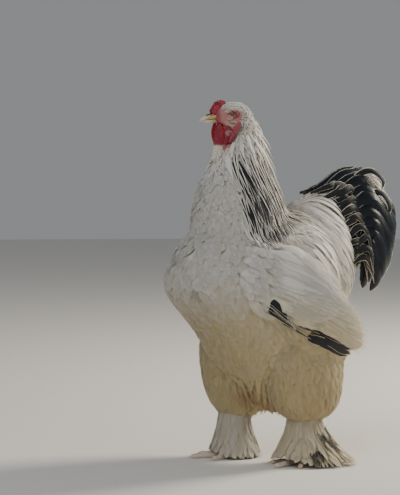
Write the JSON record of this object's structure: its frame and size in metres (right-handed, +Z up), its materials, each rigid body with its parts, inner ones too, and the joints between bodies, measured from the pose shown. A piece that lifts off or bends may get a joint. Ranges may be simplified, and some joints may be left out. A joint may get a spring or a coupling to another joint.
{
  "type": "light brahma cock model",
  "caption": "Life-size still model of a light Brahma cock, standing with its head up, for display or for a drawn or rendered scene.",
  "frame": {"origin": "middle of the underside of the model's bounding box, on the floor", "axes": "+Z up, -Y the way that the bird faces, +X towards the bird's left"},
  "size_m": [0.315, 0.4934, 0.6988],
  "materials": {
    "white_plumage": "soft, matt feathers",
    "hackle": "white feathers with a black stripe",
    "black_plumage": "black feathers with a green sheen",
    "red_skin": "bare, pebbled red skin",
    "horn": "satin horn",
    "iris": "wet, glossy"
  },
  "bodies": {
    "root": {"beak_lower": "horn", "beak_upper": "horn", "claw_back_left": "horn", "claw_back_right": "horn", "claw_inner_left": "horn", "claw_inner_right": "horn", "claw_middle_left": "horn", "claw_middle_right": "horn", "claw_outer_left": "horn", "claw_outer_right": "horn", "comb": "red_skin", "ear_lobe_left": "red_skin", "ear_lobe_right": "red_skin", "eye_left": "iris", "eye_right": "iris", "foot_left": "white_plumage", "foot_right": "white_plumage", "head": "white_plumage", "neck": "hackle", "saddle": "white_plumage", "shank_left": "white_plumage", "shank_right": "white_plumage", "tail": "black_plumage", "thigh_left": "white_plumage", "thigh_right": "white_plumage", "torso": "white_plumage", "wattle_left": "red_skin", "wattle_right": "red_skin", "wing_left": "white_plumage", "wing_right": "white_plumage"}
  },
  "joints": []
}
